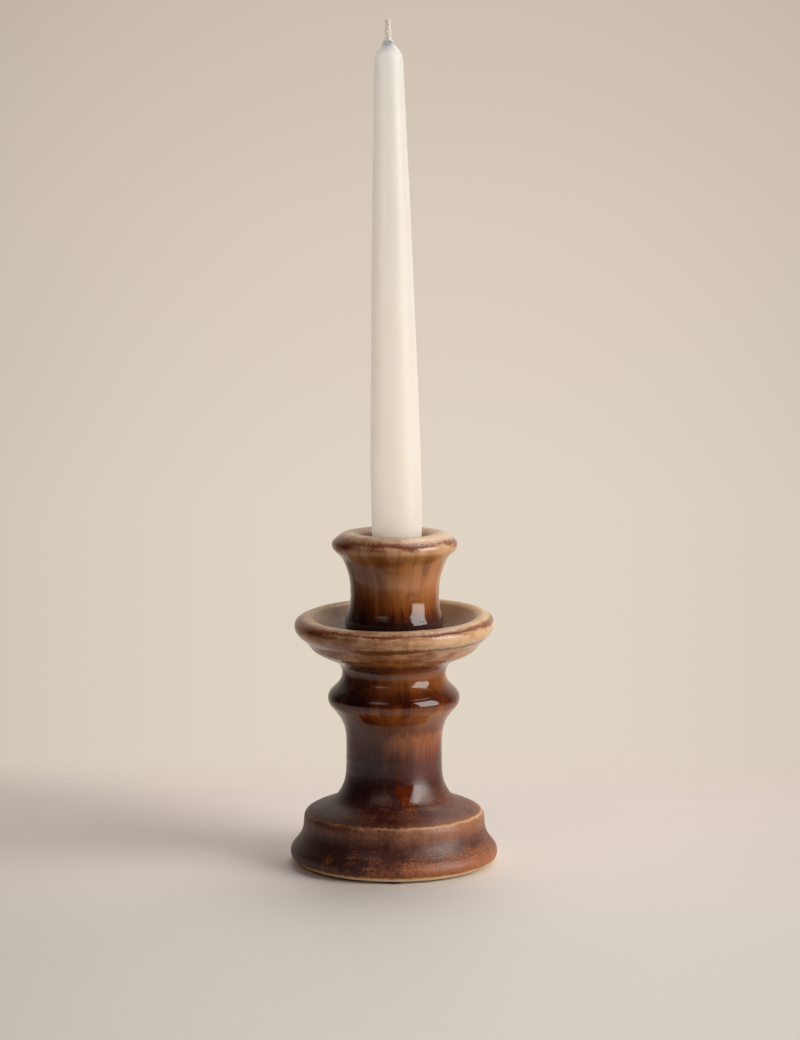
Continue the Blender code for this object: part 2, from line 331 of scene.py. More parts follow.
def make_body():
    """The glazed body: the CAD outline turned finely, with a hand's unevenness and a real edge of glaze."""
    line, along, marks = body_line()
    s, a = np.meshgrid(along[1:-1], angles(BODY_SEGMENTS), indexing="ij")
    columns = np.column_stack([line, normals_of(line)])[1:-1].T
    r, z, rise_x, rise_y, nr, nz = (np.repeat(column[:, None], BODY_SEGMENTS, axis=1) for column in columns)
    shown = np.clip(s / 2 - 1, 0, 1)
    push = hand_push(s, a, z, shown, marks)
    aside = CUP_ASIDE * np.clip((z - CUP_ASIDE_FROM) / CUP_ASIDE_OVER, 0, 1) * shown
    r = np.maximum(r + push * nr, LEAST_RADIUS)
    z = z + push * nz + rise_x * np.cos(a) + rise_y * np.sin(a)
    ends = np.array([(0, 0, line[0, 1]), (aside[-1, 0], 0, line[-1, 1])]) * MM
    rings = len(along) - 2
    inner_end = rings * BODY_SEGMENTS
    faces = ring_faces(rings, BODY_SEGMENTS)
    faces += fan_faces(inner_end, 0, BODY_SEGMENTS, False)
    faces += fan_faces(inner_end + 1, (rings - 1) * BODY_SEGMENTS, BODY_SEGMENTS, True)
    values = np.concatenate([s.ravel(), along[[0, -1]]])
    points = np.vstack([turned_points(r, a, z, aside), ends])
    return mesh_object("glazed_body", points, faces, {"along": values}), marks


# ======== Nodes ========


class Nodes:
    """Short words for the nodes of a material, a lamp or the world. A value is a number or an output."""

    def __init__(self, owner):
        owner.use_nodes = True
        self.tree = owner.node_tree

    def put(self, socket, value):
        if isinstance(value, bpy.types.NodeSocket):
            self.tree.links.new(value, socket)
        else:
            socket.default_value = value

    def make(self, kind, inputs=(), **settings):
        made = self.tree.nodes.new("ShaderNode" + kind)
        for key, value in settings.items():
            setattr(made, key, value)
        for key, value in dict(inputs).items():
            self.put(made.inputs[key], value)
        return made

    def node(self, kind, inputs=(), output=0, **settings):
        return self.make(kind, inputs, **settings).outputs[output]

    def math(self, operation, *values, clamp=False):
        return self.node("Math", enumerate(values), operation=operation, use_clamp=clamp)

    def chain(self, operation, first, *others):
        for other in others:
            first = self.math(operation, first, other)
        return first

    def add(self, *values):
        return self.chain("ADD", *values)

    def times(self, *values):
        return self.chain("MULTIPLY", *values)

    def minus(self, a, b):
        return self.math("SUBTRACT", a, b)

    def blend(self, factor, a, b):
        """The number a at factor 0 and b at factor 1."""
        return self.node("Mix", {0: factor, 2: a, 3: b})

    def mix(self, factor, a, b, blend="MIX"):
        """The colour a at factor 0 and b at factor 1."""
        return self.node("Mix", {0: factor, 6: a, 7: b}, output=2, data_type="RGBA", blend_type=blend)

    def shaded(self, colour, level):
        return self.mix(1.0, colour, level, blend="MULTIPLY")

    def split(self, vector):
        return self.make("SeparateXYZ", {0: vector}).outputs

    def vector(self, x, y, z):
        return self.node("CombineXYZ", {0: x, 1: y, 2: z})

    def straight(self, value, low, high):
        """0 at low, 1 at high, straight between them and held beyond them."""
        return self.node("MapRange", {"Value": value, "From Min": low, "From Max": high})

    def between(self, value, low, high):
        """0 at low, 1 at high, and smooth between them."""
        inputs = {"Value": value, "From Min": low, "From Max": high}
        return self.node("MapRange", inputs, interpolation_type="SMOOTHSTEP")

    def ramp(self, factor, stops):
        """A colour ramp through stops of (place, colour), which needs two or more of them in order."""
        made = self.make("ValToRGB", {0: factor})
        elements = made.color_ramp.elements
        while len(elements) < len(stops):
            elements.new(1.0)
        for element, (place, colour) in zip(elements, stops):
            element.position = place
            element.color = colour
        return made.outputs[0]


class Shader(Nodes):
    """A material with a Principled BSDF, and the textures that feed it."""

    def __init__(self, name):
        self.material = bpy.data.materials.new(name)
        super().__init__(self.material)
        self.surface = self.tree.nodes["Principled BSDF"]
        self.spot = self.node("TexCoord", output="Object")

    def noise(self, vector, scale, detail=2.0, roughness=0.5, distortion=0.0):
        inputs = {"Vector": vector, "Scale": scale, "Detail": detail}
        inputs.update({"Roughness": roughness, "Distortion": distortion})
        return self.node("TexNoise", inputs)

    def bump(self, height, distance, strength=1.0, normal=None):
        inputs = {"Height": height, "Distance": distance, "Strength": strength}
        if normal is not None:
            inputs["Normal"] = normal
        return self.node("Bump", inputs)

    def set(self, **values):
        for key, value in values.items():
            self.put(self.surface.inputs[key.replace("_", " ")], value)


def linear(red, green, blue):
    """A display colour, 0 to 255, as linear light with full alpha."""
    def channel(value):
        value /= 255
        return value / 12.92 if value <= 0.04045 else ((value + 0.055) / 1.055) ** 2.4
    return (channel(red), channel(green), channel(blue), 1)


def grey(level):
    return (level, level, level, 1)


# ======== Glaze ========

# Each row is a place on the outline (a landmark and millimetres past it), the glaze's colour there where it
# lies thick and where it breaks thin, its roughness, and how far its colours run in drips, in millimetres.
LOWER_GLAZE = [
    ("foot", -3.0, (214, 196, 165), (222, 204, 176), 0.80, 0.0),
    ("foot", 2.4, (222, 204, 172), (232, 214, 186), 0.75, 0.0),
    ("foot", 2.8, (214, 150, 66), (236, 182, 104), 0.35, 0.2),
    ("foot", 3.5, (186, 118, 52), (216, 154, 88), 0.40, 0.4),
    ("foot", 4.1, (70, 22, 6), (139, 78, 41), 0.46, 0.8),
    ("toe", 1.5, (54, 9, 3), (140, 80, 48), 0.46, 2.0),
    ("toe", 5.0, (50, 8, 3), (112, 60, 38), 0.44, 3.0),
    ("toe", 9.5, (54, 9, 3), (74, 31, 22), 0.42, 3.0),
    ("step", -8.0, (61, 16, 7), (95, 49, 30), 0.44, 2.5),
    ("step", -4.5, (84, 42, 26), (134, 82, 54), 0.46, 2.4),
    ("step", -1.0, (96, 50, 30), (150, 98, 64), 0.46, 1.6),
    ("step", 0.1, (128, 80, 54), (218, 170, 128), 0.46, 0.8),
    ("step", 1.0, (71, 27, 16), (124, 73, 49), 0.46, 0.6),
    ("step", 4.5, (56, 14, 9), (88, 42, 31), 0.44, 1.5),
    ("shoulder", 1.0, (48, 3, 3), (78, 34, 26), 0.40, 3.0),
    ("stem", -18.0, (44, 3, 3), (82, 39, 30), 0.34, 5.0),
    ("stem", -6.0, (48, 3, 3), (90, 38, 26), 0.24, 7.0),
    ("stem", -1.5, (62, 16, 3), (112, 54, 30), 0.20, 8.0),
    ("stem", 3.0, (88, 32, 4), (142, 78, 42), 0.15, 8.0),
    ("ring", -17.0, (100, 44, 14), (156, 88, 42), 0.13, 5.0),
    ("ring", -15.0, (76, 28, 3), (116, 60, 22), 0.07, 5.0),
    ("ring", -9.0, (86, 34, 3), (138, 78, 32), 0.06, 4.0),
    ("ring", -4.5, (102, 43, 3), (158, 90, 38), 0.06, 3.0),
    ("ring", -0.5, (61, 13, 3), (115, 57, 16), 0.05, 2.5),
    ("ring", 1.5, (40, 9, 4), (84, 34, 12), 0.05, 2.5),
    ("ring", 6.0, (44, 12, 5), (92, 40, 14), 0.05, 2.5),
    ("ring", 9.5, (74, 32, 10), (128, 70, 28), 0.05, 2.5),
    ("throat", 0.0, (87, 36, 3), (145, 85, 44), 0.07, 2.0),
    ("throat", 6.5, (56, 20, 6), (108, 56, 24), 0.10, 1.0),
]
PAN_GLAZE = [
    ("throat", 6.5, (56, 20, 6), (108, 56, 24), 0.10, 1.0),
    ("rim", -17.0, (118, 62, 23), (175, 116, 66), 0.16, 1.0),
    ("rim", -7.0, (132, 76, 38), (208, 162, 116), 0.16, 1.5),
    ("rim", 0.5, (156, 98, 56), (224, 184, 142), 0.14, 1.2),
    ("rim", 4.6, (140, 84, 46), (220, 180, 140), 0.18, 0.8),
    ("crest", -0.5, (183, 138, 99), (223, 185, 142), 0.22, 0.8),
    ("crest", 4.5, (150, 112, 80), (186, 148, 110), 0.34, 2.0),
    ("pan_corner", -6.0, (84, 54, 34), (120, 88, 60), 0.30, 2.0),
    # Near black at the pan's inner corner: glaze pooled there, and painted shade in the crease.
    ("pan_corner", -0.5, (28, 12, 11), (50, 26, 22), 0.12, 0.5),
]
CUP_GLAZE = [
    # Near black at the pan's corner round the foot of the cup: glaze pooled there, and painted shade in the
    # crease.
    ("pan_corner", 0.0, (28, 12, 15), (50, 27, 27), 0.08, 0.5),
    ("bead", 1.0, (38, 13, 14), (62, 32, 28), 0.06, 1.5),
    ("bead", 6.0, (56, 18, 8), (104, 52, 26), 0.05, 4.0),
    ("waist", -3.0, (104, 48, 13), (150, 86, 36), 0.05, 4.0),
    ("waist", 7.0, (122, 63, 16), (186, 124, 78), 0.06, 3.0),
    ("lip", -9.0, (120, 63, 16), (179, 116, 61), 0.08, 2.5),
    ("lip", -3.0, (157, 98, 51), (205, 151, 100), 0.12, 1.5),
    ("lip", 0.8, (176, 118, 78), (224, 182, 144), 0.13, 0.8),
    ("lip", 4.8, (184, 136, 104), (224, 188, 154), 0.18, 0.9),
    ("mouth", -2.0, (195, 157, 124), (223, 191, 159), 0.22, 0.5),
    # These rows darken down into the candle's hole: painted shade.
    ("mouth", 3.0, (172, 138, 112), (198, 166, 140), 0.28, 0.5),
    ("mouth", 9.0, (132, 96, 78), (164, 128, 106), 0.35, 0.5),
    ("mouth", 16.0, (120, 92, 76), (150, 120, 100), 0.45, 0.5),
]
LONGEST_DRIP = 8.0  # millimetres, the tables' longest reach
# painted shade on the stem's front left, away from the window
LEFT_SHADE = (42, 16, 9)
# amber of the painted dark reflection on the stem's flare
AMBER = (94, 34, 8)
RUST = (184, 112, 66)
PINHOLE = (24, 10, 10)


class Glaze(Shader):
    """The glaze's shader, with what its parts share: places on the body, and noises that run down it."""

    def __init__(self, marks):
        super().__init__("reactive_glaze")
        self.marks = marks
        self.along = self.node("Attribute", output="Fac", attribute_name="along")
        x, y, _ = self.split(self.spot)
        radius = self.math("SQRT", self.add(self.times(x, x), self.times(y, y)))
        self.ux = self.math("DIVIDE", x, radius)
        self.uy = self.math("DIVIDE", y, radius)
        self.drips = self.times(self.minus(self.streaks(16, 0.02, detail=3.0, roughness=0.6), 0.5), 2.6)
        self.broad = self.streaks(5.5, 0.035, detail=3.0, roughness=0.55, distortion=0.4)
        self.mottle = self.noise(self.spot, 520.0, detail=4.0, roughness=0.65)
        self.base = self.between(self.along, marks["stem"] - 12, marks["shoulder"])

    def streaks(self, round_scale, along_scale, **more):
        """Noise of one scale round the body and another along its outline."""
        down = self.times(self.along, along_scale / round_scale)
        return self.noise(self.vector(self.ux, self.uy, down), round_scale, **more)

    def zone(self, start, full, last_full, end):
        """1 from full to last_full along the outline, and 0 before start and past end."""
        return self.times(self.between(self.along, start, full), self.between(self.along, end, last_full))


def table_glaze(sh, rows):
    """The thick and thin colours and the roughness along the outline, from the rows of a table."""
    spots = [sh.marks[name] + offset for name, offset, *_ in rows]
    low, high = spots[0], spots[-1]
    shares = [(spot - low) / (high - low) for spot in spots]
    reaches = [(share, grey(row[5] / LONGEST_DRIP)) for share, row in zip(shares, rows)]
    reach = sh.ramp(sh.straight(sh.along, low, high), reaches)
    moved = sh.add(sh.along, sh.times(reach, LONGEST_DRIP, sh.drips))
    place = sh.straight(moved, low, high)
    thick = sh.ramp(place, [(share, linear(*row[2])) for share, row in zip(shares, rows)])
    thin = sh.ramp(place, [(share, linear(*row[3])) for share, row in zip(shares, rows)])
    rough = sh.ramp(place, [(share, grey(row[4])) for share, row in zip(shares, rows)])
    return thick, thin, rough


def thinness_and_lit_side(sh):
    """How thin the glaze lies: in streaks, in smears round the pan, in fine mottling on the base, with
    painted light that makes it paler towards +X, the window's side.
    """
    fine = sh.streaks(40, 0.12, detail=3.0, roughness=0.6)
    smear = sh.streaks(5.0, 0.24, detail=3.0, roughness=0.6)
    blotch = sh.noise(sh.spot, 75.0, detail=2.0, roughness=0.5)
    share = sh.add(sh.times(fine, 0.17), sh.times(sh.broad, 0.41), sh.times(blotch, 0.42))
    marks = sh.marks
    pan = sh.zone(marks["throat"] + 3, marks["throat"] + 8, marks["crest"] - 4, marks["crest"] + 2)
    share = sh.blend(pan, share, sh.add(sh.times(share, 0.45), sh.times(smear, 0.55)))
    share = sh.blend(sh.base, share, sh.add(sh.times(share, 0.5), sh.times(sh.mottle, 0.5)))
    # Painted light: the glaze is paler on its +X side, the window's side, most of all on the base.
    share = sh.add(share, sh.times(sh.ux, 0.11))
    lit_side_on_base = sh.minus(sh.times(sh.math("MAXIMUM", sh.ux, 0.0), 0.14), 0.015)
    share = sh.add(share, sh.times(lit_side_on_base, sh.base))
    return sh.between(share, 0.36, 0.64)


def plain_glaze(sh):
    """The glaze's colour and roughness from the tables, before its single features."""
    is_pan = sh.math("GREATER_THAN", sh.along, sh.marks["throat"] + 6.5)
    is_cup = sh.math("GREATER_THAN", sh.along, sh.marks["pan_corner"])
    tables = (table_glaze(sh, rows) for rows in (LOWER_GLAZE, PAN_GLAZE, CUP_GLAZE))
    thick, thin, rough = (sh.mix(is_cup, sh.mix(is_pan, a, b), c) for a, b, c in zip(*tables))
    return sh.mix(thinness_and_lit_side(sh), thick, thin), rough


def painted_shade_patch(sh, colour):
    """Painted shade: a darker patch on the front left of the stem, the side away from the window."""
    side = sh.add(sh.times(sh.ux, -0.62), sh.times(sh.uy, -0.78))
    ragged = sh.add(side, sh.times(sh.minus(sh.broad, 0.5), 1.6))
    marks = sh.marks
    patch = sh.zone(marks["shoulder"] - 2, marks["stem"] - 10, marks["ring"] - 20, marks["ring"] - 6)
    # painted shade: darker towards the front left of the stem
    left_shade = sh.times(sh.between(ragged, 0.45, 1.0), patch)
    return sh.mix(sh.times(left_shade, 0.5), colour, linear(*LEFT_SHADE))


def painted_dark_reflection(sh, colour, rough):
    """A painted dark reflection: a clear amber patch that widens down to a blunt end on the flare of the
    stem, darker than the duller glaze beside it.
    """
    stem = sh.marks["stem"]
    front = sh.math("LESS_THAN", sh.uy, 0.0)
    rise = sh.between(sh.along, stem - 31, stem - 17)
    wavering = sh.add(sh.ux, sh.times(sh.drips, 0.05))
    off_middle = sh.math("ABSOLUTE", sh.minus(wavering, 0.28))
    amber = sh.between(sh.minus(off_middle, sh.times(rise, 0.24)), 0.02, -0.03)
    amber = sh.times(amber, front, sh.between(rise, 0.0, 0.3))
    ragged = sh.add(sh.along, sh.times(sh.drips, 1.6))
    amber = sh.times(amber, sh.between(ragged, stem - 13.6, stem - 14.6))
    # painted dark reflection: the glaze turns darker amber and glossier inside this patch
    colour = sh.mix(sh.times(amber, 0.8), colour, linear(*AMBER))
    return colour, sh.blend(amber, rough, 0.08)


def rust_specks(sh, colour):
    """Specks in the matt glaze of the base: in loose clusters on the toe, and fainter ones above the step.
    They gather towards +X, painted light on the window's side.
    """
    drifts = sh.times(sh.streaks(3.0, 0.9, detail=2.0), 0.6)
    # painted light: more pale specks towards +X, the window's side
    patches_and_lit_side = sh.add(sh.noise(sh.spot, 120.0, detail=2.0), drifts, sh.times(sh.ux, 0.15))
    grain = sh.noise(sh.spot, 1200.0, detail=3.0, roughness=0.7)
    foot, step = sh.marks["foot"], sh.marks["step"]
    toe = sh.zone(foot + 4, foot + 6, foot + 9, foot + 17)
    above = sh.between(sh.along, step + 1.5, step + 3)
    strength = sh.add(sh.times(toe, 0.5), sh.times(above, 0.1), 0.25)
    specks = sh.times(sh.between(grain, 0.46, 0.6), sh.between(patches_and_lit_side, 0.75, 0.93), sh.base, strength)
    return sh.mix(specks, colour, linear(*RUST))


def brush_strokes(sh, colour):
    """Rusty brush strokes round the lip, the rim and under the rim, where the second glaze was wiped on."""
    bristles = sh.streaks(60, 0.9, detail=3.0, roughness=0.65)
    cover = sh.minus(sh.streaks(2.2, 0.12, detail=2.0), 0.5)
    dense = sh.add(bristles, sh.times(cover, 0.7))
    wandering = sh.add(sh.along, sh.times(cover, 5.0))
    lip, rim = sh.marks["lip"], sh.marks["rim"]
    for low, high, tint in (
        (lip + 0.4, lip + 4.9, (112, 36, 6)),
        (rim + 1.6, rim + 4.8, (118, 50, 12)),
        (rim - 9.0, rim - 5.0, (112, 62, 34)),
    ):
        middle, half = (low + high) / 2, (high - low) / 2
        off_middle = sh.math("DIVIDE", sh.math("ABSOLUTE", sh.minus(wandering, middle)), half)
        needed = sh.add(sh.times(off_middle, 0.24), 0.27)
        stroke = sh.between(sh.minus(dense, needed), -0.04, 0.14)
        stroke = sh.times(stroke, sh.between(off_middle, 1.5, 0.9))
        colour = sh.mix(sh.times(stroke, 0.88), colour, linear(*tint))
    return colour


def pinholes(sh):
    """1 in the pinholes that burst through the pooled glaze at the foot of the cup, and 0 elsewhere."""
    cells = sh.make("TexVoronoi", {"Vector": sh.spot, "Scale": 560.0})
    chosen = sh.node("SeparateColor", {0: cells.outputs["Color"]})
    inside = sh.between(cells.outputs["Distance"], 0.24, 0.16)
    bead = sh.marks["bead"]
    return sh.times(inside, sh.between(chosen, 0.22, 0.27), sh.zone(bead - 2, bead, bead + 2.5, bead + 4.5))


def surface_relief(sh, holes):
    """The glaze's orange peel, the grit of its matt stretch, and the pinholes' depth."""
    glazed = sh.between(sh.along, BARE_CLAY_HEIGHT - 0.3, BARE_CLAY_HEIGHT + 0.4)
    peel = sh.bump(sh.noise(sh.spot, 420.0, detail=2.0), 0.00003, 0.5)
    grit = sh.noise(sh.spot, 2300.0, detail=2.0, roughness=0.6)
    rugged = sh.bump(sh.times(grit, sh.times(sh.base, glazed)), 0.00006, 0.8, peel)
    return sh.bump(sh.times(holes, -1.0), 0.0003, 1.0, rugged)


def glaze(marks):
    """Reactive brown glaze: it breaks tan on edges, runs down in fine streaks and pools dark in hollows, with
    painted shade, a painted dark reflection and a painted paler lit side in its colour.
    """
    sh = Glaze(marks)
    colour, rough = plain_glaze(sh)
    colour = painted_shade_patch(sh, colour)
    colour, rough = painted_dark_reflection(sh, colour, rough)
    colour = rust_specks(sh, colour)
    colour = brush_strokes(sh, colour)
    holes = pinholes(sh)
    colour = sh.mix(holes, colour, linear(*PINHOLE))
    uneven = sh.times(sh.minus(sh.mottle, 0.5), sh.times(rough, 1.1))
    sh.set(
        Base_Color=colour,
        Roughness=sh.math("ADD", rough, uneven, clamp=True),
        Normal=surface_relief(sh, holes),
        IOR=1.53,
    )
    return sh.material


# ======== Candle ========


def candle_axis():
    """The candle's foot centre in metres, the direction that it leans in, and the wick's length in metres."""
    direction = Vector(frame["joints"][0]["axis"]).normalized()
    wick = frame["nodes"]["candle_wick"].data
    centre = Vector(np.mean([v.co for v in wick.vertices], axis=0))
    heights = [(v.co - centre).dot(direction) for v in wick.vertices]
    return centre + direction * min(heights), direction, max(heights) - min(heights)


def turned_outline(node, foot, direction):
    """The widest radius at each height of a CAD solid turned about the candle's axis, in millimetres."""
    widest = {}
    for vertex in frame["nodes"][node].data.vertices:
        out = vertex.co - foot
        height = out.dot(direction)
        radius = (out - direction * height).length / MM
        key = round(height / MM, 2)
        widest[key] = max(widest.get(key, 0), radius)
    return np.array([(radius, height) for height, radius in sorted(widest.items())])


def hole_radius(node, foot, direction):
    """The least distance from the candle's axis to a CAD solid's points, in millimetres."""
    return min((v.co - foot).cross(direction).length / MM for v in frame["nodes"][node].data.vertices)


def stand_on_axis(obj, foot, direction):
    """Moves a mesh made round +Z from the origin onto the candle's axis."""
    turn = Vector((0, 0, 1)).rotation_difference(direction).to_matrix().to_4x4()
    obj.data.transform(Matrix.Translation(foot) @ turn)


def make_candle(foot, direction):
    """The wax: the CAD outline turned finely round the hole for the wick, with faint dips of the mould."""
    hole = hole_radius("candle_wax", foot, direction)
    line = refined(turned_outline("candle_wax", foot, direction), CANDLE_STEP)
    top = line[-1, 1]
    line = np.vstack([[(hole, line[0, 1])], line, [(hole, top - 0.1)]])
    radius = np.repeat(line[:, :1], CANDLE_SEGMENTS, axis=1)
    height = np.repeat(line[:, 1:], CANDLE_SEGMENTS, axis=1)
    angle = np.tile(angles(CANDLE_SEGMENTS), (len(line), 1))
    off_hole = np.clip((radius - 4) / 4, 0, 1)
    radius = radius + off_hole * MOULD_DIP * (waves(angle, height, seed=7, count=8, turns=3, rise=0.05) - 1)
    points = turned_points(radius, angle, height)
    wax = mesh_object("taper_candle", points, ring_faces(len(line), CANDLE_SEGMENTS, closed=True))
    stand_on_axis(wax, foot, direction)
    return wax, top


def wax_material():
    """Ivory wax: light goes a little way in, and the skin has a soft sheen and a faint bloom."""
    sh = Shader("ivory_wax")
    cloud = sh.noise(sh.spot, 45.0, detail=3.0)
    bloom = sh.noise(sh.spot, 700.0, detail=3.0, roughness=0.6)
    sh.set(
        Base_Color=sh.mix(cloud, linear(236, 224, 210), linear(239, 230, 221)),
        Roughness=sh.add(sh.times(bloom, 0.22), 0.28),
        Normal=sh.bump(bloom, 0.00002, 0.4),
        IOR=1.44,
        Subsurface_Weight=1.0,
        Subsurface_Radius=(1.0, 0.9, 0.7),
        Subsurface_Scale=0.02,
    )
    return sh.material


# ---- Wick ----


def tube(path, radius, sides):
    """Points and faces of a closed tube along a path, in the path's own units."""
    path = np.array(path)
    tangent = np.gradient(path, axis=0)
    tangent /= np.linalg.norm(tangent, axis=1)[:, None]
    side = np.cross(tangent, (0, 0, 1.0))
    side /= np.maximum(np.linalg.norm(side, axis=1), 1e-6)[:, None]
    up = np.cross(side, tangent)
    turn = angles(sides)
    rim = np.cos(turn)[None, :, None] * side[:, None] + np.sin(turn)[None, :, None] * up[:, None]
    points = (path[:, None] + np.asarray(radius)[:, None, None] * rim).reshape(-1, 3)
    faces = ring_faces(len(path), sides) + cap_faces(len(path), sides)
    return points, [face[::-1] for face in faces]


def braid_strand(way, number, start, top):
    """One strand of the round braid. Its way is 1 or -1, and it thins towards the burnt end of the wick."""
    height = np.linspace(start, top - 0.5, BRAID_STEPS)
    share = (height - start) / (height[-1] - start)
    spin = math.tau / (WICK_STRANDS * WICK_ROW)
    angle = way * spin * (height - start) + math.tau * number / WICK_STRANDS
    weave = way * BRAID_WEAVE * np.cos(WICK_STRANDS * spin * (height - start) - math.pi / 2)
    reach = (BRAID_RADIUS + weave) * (1.08 - 0.22 * share)
    thickness = STRAND_RADIUS * (1.1 - 0.2 * share)
    thickness[-3:] *= (0.85, 0.6, 0.3)
    path = np.column_stack([reach * np.cos(angle), reach * np.sin(angle), height])
    return tube(path, thickness, STRAND_SIDES)


def wick_core(start, top):
    """The plain core, from the candle's foot to the wick's tip."""
    height = np.array([0.0, 0.2, start, top - 1.2, top - 0.4, top - 0.15])
    radius = np.array([1.2, 1.4, 1.35, 0.95, 0.75, 0.3])
    turn = angles(CORE_SIDES)
    rim = np.stack([np.cos(turn), np.sin(turn), turn * 0], axis=-1)
    middle = np.column_stack([height * 0, height * 0, height])
    points = (middle[:, None] + radius[:, None, None] * rim[None]).reshape(-1, 3)
    return points, ring_faces(len(height), CORE_SIDES) + cap_faces(len(height), CORE_SIDES)


def make_wick(foot, direction, wax_top, length):
    """The wick: a plain core down through the wax, and a round braid where it stands free."""
    top = length / MM
    start = wax_top - BRAID_BURIED
    parts = [braid_strand(way, number, start, top) for way in (1, -1) for number in range(WICK_STRANDS)]
    parts.append(wick_core(start, top))
    points, faces = [], []
    for part_points, part_faces in parts:
        base = sum(len(p) for p in points)
        points.append(part_points)
        faces.extend(tuple(base + i for i in face) for face in part_faces)
    wick = mesh_object("braided_wick", np.vstack(points) * MM, faces)
    stand_on_axis(wick, foot, direction)
    return wick


def cotton_material():
    """Waxed cotton: pale twisted yarns with fine fibres."""
    sh = Shader("waxed_cotton")
    fibres = sh.noise(sh.spot, 5200.0, detail=3.0, roughness=0.7)
    sh.set(
        Base_Color=sh.mix(fibres, linear(222, 206, 188), linear(250, 244, 232)),
        Roughness=0.6,
        Normal=sh.bump(fibres, 0.00008, 0.7),
        Subsurface_Weight=0.4,
        Subsurface_Radius=(1.0, 0.7, 0.5),
        Subsurface_Scale=0.001,
    )
    return sh.material


# ======== Felt pads ========


def make_pad(number):
    """One felt pad: a disc with a soft edge and an uneven cut, where its CAD disc lies."""
    low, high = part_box(f"felt_pad_{number}")
    centre = (low + high) / 2
    radius = (high.x - low.x) / 2 / MM
    thick = (high.z - low.z) / MM
    line = [
        (0.02, 0),
        (radius * 0.5, 0),
        (radius - FELT_EDGE, 0),
        (radius - 0.03, FELT_EDGE * 0.6),
        (radius, thick / 2),
    ]
    line += [(r, thick - z) for r, z in reversed(line[:-1])]
    line = np.array(line)
    angle = np.tile(angles(FELT_SEGMENTS), (len(line), 1))
    r = np.repeat(line[:, :1], FELT_SEGMENTS, axis=1)
    z = np.repeat(line[:, 1:], FELT_SEGMENTS, axis=1)
    cut = waves(angle, z * 0, seed=40 + number, count=8, turns=22, rise=0)
    r = r - np.clip(r / radius, 0, 1) ** 8 * 0.05 * (1 + cut)
    points = turned_points(r, angle, z) + np.array((centre.x, centre.y, low.z))
    faces = ring_faces(len(line), FELT_SEGMENTS) + cap_faces(len(line), FELT_SEGMENTS)
    return mesh_object(f"felt_disc_{number}", points, faces)


def felt_material():
    sh = Shader("brown_felt")
    fibres = sh.noise(sh.spot, 3500.0, detail=5.0, roughness=0.75, distortion=1.2)
    sh.set(
        Base_Color=sh.mix(fibres, linear(58, 40, 30), linear(104, 78, 60)),
        Roughness=0.95,
        Normal=sh.bump(fibres, 0.0001, 0.8),
        Sheen_Weight=0.3,
    )
    return sh.material


# ======== Studio ========

BACKDROP = (224, 212, 196)
BACKDROP_MIDDLE = (216, 203, 187)
BACKDROP_TOP = (203, 190, 174)
# FLOOR_FRONT is darker than FLOOR_BACK: painted shade towards the front.
FLOOR_FRONT = (227, 226, 220)
FLOOR_BACK = (243, 232, 227)
FLOOR_EDGES = (-0.47, 0.24, 0.62)  # metres: front, back and sides
FLOOR_FADES = (0.14, 0.13, 0.3)  # metres over which those edges fade out
LIT_POINT = Vector((0, 0, 0.12))


def falloff(nodes, across, middle, strength, least):
    """1 at the middle and less towards both sides, but never under least."""
    aside = nodes.minus(across, middle)
    return nodes.math("MAXIMUM", nodes.minus(1.0, nodes.times(aside, aside, strength)), least)


def make_floor():
    """A pale table top with painted shade, darker towards its front and towards both sides, that fades into
    the backdrop at its edges.
    """
    front, back, side = FLOOR_EDGES
    front_fade, back_fade, side_fade = FLOOR_FADES
    points = [(-side, front, 0), (side, front, 0), (side, back, 0), (-side, back, 0)]
    floor = mesh_object("floor", points, [(0, 1, 2, 3)])
    sh = Shader("floor")
    x, y, _ = sh.split(sh.spot)
    fade = sh.times(
        sh.between(y, back, back - back_fade),
        sh.between(y, front, front + front_fade),
        sh.between(sh.math("ABSOLUTE", x), side, side - side_fade),
    )
    # Painted shade: the floor darkens towards its front and towards both sides.
    colour = sh.mix(sh.between(y, -0.3, 0.2), linear(*FLOOR_FRONT), linear(*FLOOR_BACK))
    colour = sh.shaded(colour, falloff(sh, x, middle=0.02, strength=3.6, least=0.82))
    sh.set(Base_Color=colour, Roughness=0.6, Specular_IOR_Level=0.2, Alpha=fade)
    floor.data.materials.append(sh.material)


def make_world():
    """A pale backdrop for the camera, and a room, dark in front and on the left, for the reflections."""
    world = bpy.data.worlds.new("studio")
    bpy.context.scene.world = world
    nodes = Nodes(world)
    x, y, z = nodes.split(nodes.node("TexCoord", output="Generated"))
    backdrop = nodes.ramp(nodes.straight(z, -0.22, 0.08), [
        (0.0, linear(*BACKDROP)),
        (0.35, linear(*BACKDROP)),
        (0.7, linear(*BACKDROP_MIDDLE)),
        (1.0, linear(*BACKDROP_TOP)),
    ])
    backdrop = nodes.shaded(backdrop, falloff(nodes, x, middle=0.015, strength=5.2, least=0.8))
    room = nodes.ramp(nodes.straight(y, -0.4, 0.95), [
        (0.0, (0.02, 0.017, 0.015, 1)),
        (0.45, (0.09, 0.083, 0.075, 1)),
        (0.65, (0.13, 0.12, 0.105, 1)),
        (0.9, linear(*BACKDROP)),
    ])
    darker_left = nodes.ramp(nodes.straight(x, -0.9, 0.2), [(0.0, (0.45, 0.42, 0.4, 1)), (1.0, grey(1.0))])
    room = nodes.shaded(room, darker_left)
    seen = nodes.node("LightPath", output="Is Camera Ray")
    nodes.put(nodes.tree.nodes["Background"].inputs["Color"], nodes.mix(seen, room, backdrop))


